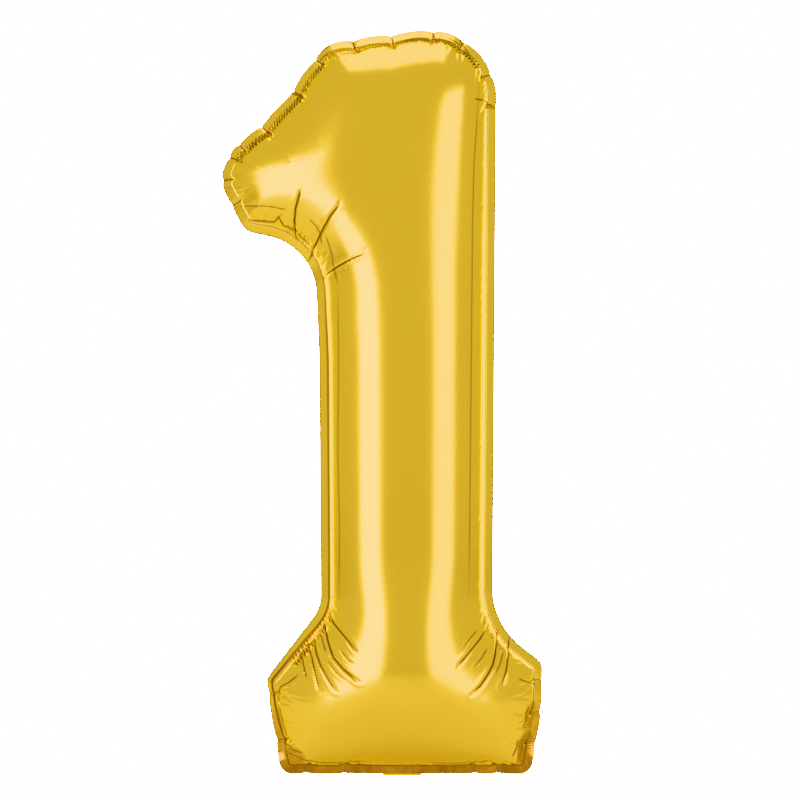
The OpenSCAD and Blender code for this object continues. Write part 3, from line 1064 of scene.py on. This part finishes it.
def build_lights():
    for name, degrees, wide, power in SOFTBOXES:
        angle = math.radians(degrees)
        obj = softbox(name, wide, LIGHT_TALL, power)
        obj.location = (LIGHT_AWAY * math.sin(angle), -LIGHT_AWAY * math.cos(angle), LIGHT_UP)
        obj.rotation_euler = (math.pi / 2, 0, angle)
    top = softbox("top_light", TOP_SIDE, TOP_SIDE, TOP_POWER)
    top.location = (0, 0, TOP_UP)


def build_world():
    """Even pale room, with a white backdrop behind the balloon."""
    world = bpy.data.worlds.new("studio")
    bpy.context.scene.world = world
    world.use_nodes = True
    tree = world.node_tree
    tree.nodes.clear()
    room = add(tree, "Background", {"Color": (1, 1, 1, 1), "Strength": ROOM_LIGHT})
    seen = add(tree, "Background", {"Color": (1, 1, 1, 1), "Strength": BACKDROP})
    path = add(tree, "LightPath").outputs
    mixed = add(tree, "MixShader", {0: path["Is Camera Ray"], 1: room.outputs[0],
                                    2: seen.outputs[0]})
    add(tree, "OutputWorld", {"Surface": mixed.outputs[0]})


def floor_material():
    """Pale floor that fades into the white backdrop."""
    mat, tree = new_material("pale_floor")
    place = add(tree, "TexCoord").outputs["Object"]
    length = add(tree, "VectorMath", {0: place}, operation="LENGTH").outputs["Value"]
    fade = add(tree, "MapRange", {"Value": length, "From Min": 0.15, "From Max": 0.9})
    near = add(tree, "BsdfDiffuse", {"Color": (0.8, 0.79, 0.78, 1)})
    glow = add(tree, "Emission", {"Color": (1, 1, 1, 1), "Strength": BACKDROP})
    path = add(tree, "LightPath").outputs
    share = calc(tree, "MULTIPLY_ADD", fade.outputs[0], 0.35)
    share.node.inputs[2].default_value = 0.65
    share = calc(tree, "MULTIPLY", share, path["Is Camera Ray"])
    mixed = add(tree, "MixShader", {0: share, 1: near.outputs[0], 2: glow.outputs[0]})
    add(tree, "OutputMaterial", {"Surface": mixed.outputs[0]})
    return mat


def build_floor():
    mesh = bpy.data.meshes.new("floor")
    r = FLOOR_HALF
    mesh.from_pydata([(-r, -r, 0), (r, -r, 0), (r, r, 0), (-r, r, 0)], [], [(0, 1, 2, 3)])
    obj = bpy.data.objects.new("floor", mesh)
    bpy.context.scene.collection.objects.link(obj)
    obj.location = (0, 0, FLOOR_Z)
    mesh.materials.append(floor_material())


def build_camera():
    data = bpy.data.cameras.new("camera")
    obj = bpy.data.objects.new("camera", data)
    bpy.context.scene.collection.objects.link(obj)
    obj.location = (CAMERA_X, -CAMERA_AWAY, CAMERA_UP)
    obj.rotation_euler = (math.pi / 2, 0, 0)
    data.sensor_width = SENSOR
    data.lens = SENSOR * CAMERA_AWAY / SEEN_WIDE
    data.dof.use_dof = False
    bpy.context.scene.camera = obj


# --- Assembly -------------------------------------------------------------------------------


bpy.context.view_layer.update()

gold = foil_material("gold_foil")
gold_tail = foil_material("gold_foil_tail", folds=False)
film = plain_material("clear_film", (0.86, 0.90, 0.92, 1), 0.12, 60.0, clear=0.8)
weld = plain_material("weld_edge", (0.80, 0.62, 0.20, 1), 0.32, 400.0, metal=0.8)
film_weld = plain_material("film_weld", (0.80, 0.85, 0.88, 1), 0.35, 500.0, clear=0.5)

tail_whole = [(-TAIL_W / 2, TAIL_W / 2)]
tail_edges = [(-TAIL_W / 2, TAIL_SEAL_W - TAIL_W / 2), (TAIL_W / 2 - TAIL_SEAL_W, TAIL_W / 2)]
valve_whole = [(-VALVE_W / 2, VALVE_W / 2)]
valve_edges = [(-VALVE_W / 2, VALVE_SEAL_W - VALVE_W / 2),
               (VALVE_W / 2 - VALVE_SEAL_W, VALVE_W / 2)]
valve_top = VALVE_Z + VALVE_L

# On the envelope: piece, CAD node, material.
front = panel("front_foil", True, 11)
back = panel("back_foil", False, 23)
edge = edge_weld("edge_weld")
throat_front = valve_strip("throat_film_front", -FILM_Y, 0, NECK_Z, FOOT_Z, valve_whole)
throat_back = valve_strip("throat_film_back", FILM_Y, 0, NECK_Z, FOOT_Z, valve_whole)
for piece, node, material in ((front, "front_panel", gold), (back, "back_panel", gold),
                              (edge, "perimeter_seal", weld),
                              (throat_front, "throat_front_film", film),
                              (throat_back, "throat_back_film", film)):
    piece.data.materials.append(material)
    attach(piece, "envelope")
    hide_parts(node)

# On the tail, which curls back from the fold of the neck.
tail_front = tail_strip("tail_front", 0.3, 1.1, TAIL_FOIL_L, tail_whole)
tail_back = tail_strip("tail_back", -0.3, -0.8, TAIL_FOIL_L, tail_whole)
tail_weld = tail_strip("tail_weld", 0.0, 0.0, TAIL_WELD_L, tail_edges)
film_front = tail_strip("tail_film_front", FILM_Y, 0.55, TAIL_FILM_L, valve_whole)
film_back = tail_strip("tail_film_back", -FILM_Y, -0.35, TAIL_FILM_L, valve_whole)
for piece, node, material in ((tail_front, "tail_front_foil", gold_tail),
                              (tail_back, "tail_back_foil", gold_tail),
                              (tail_weld, "tail_side_seals", weld),
                              (film_front, "tail_front_film", film),
                              (film_back, "tail_back_film", film)):
    piece.data.materials.append(material)
    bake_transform(piece)
    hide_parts(node)

# The valve's free part.
flap = valve_strip("valve_film_front", -FILM_Y, -0.5, VALVE_Z, valve_top, valve_whole)
tube = valve_strip("valve_film_back", FILM_Y, 0.5, VALVE_Z, valve_top, valve_whole)
tube_weld = valve_strip("valve_weld", 0.0, 0.0, VALVE_Z, valve_top, valve_edges)
for piece, node, body, material in ((flap, "valve_front_film", "valve_flap", film),
                                    (tube, "valve_back_film", "valve_tube", film),
                                    (tube_weld, "valve_side_seals", "valve_tube", film_weld)):
    piece.data.materials.append(material)
    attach(piece, body)
    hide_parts(node)

build_world()
build_lights()
build_floor()
build_camera()
bpy.context.scene.view_settings.view_transform = "Khronos PBR Neutral"
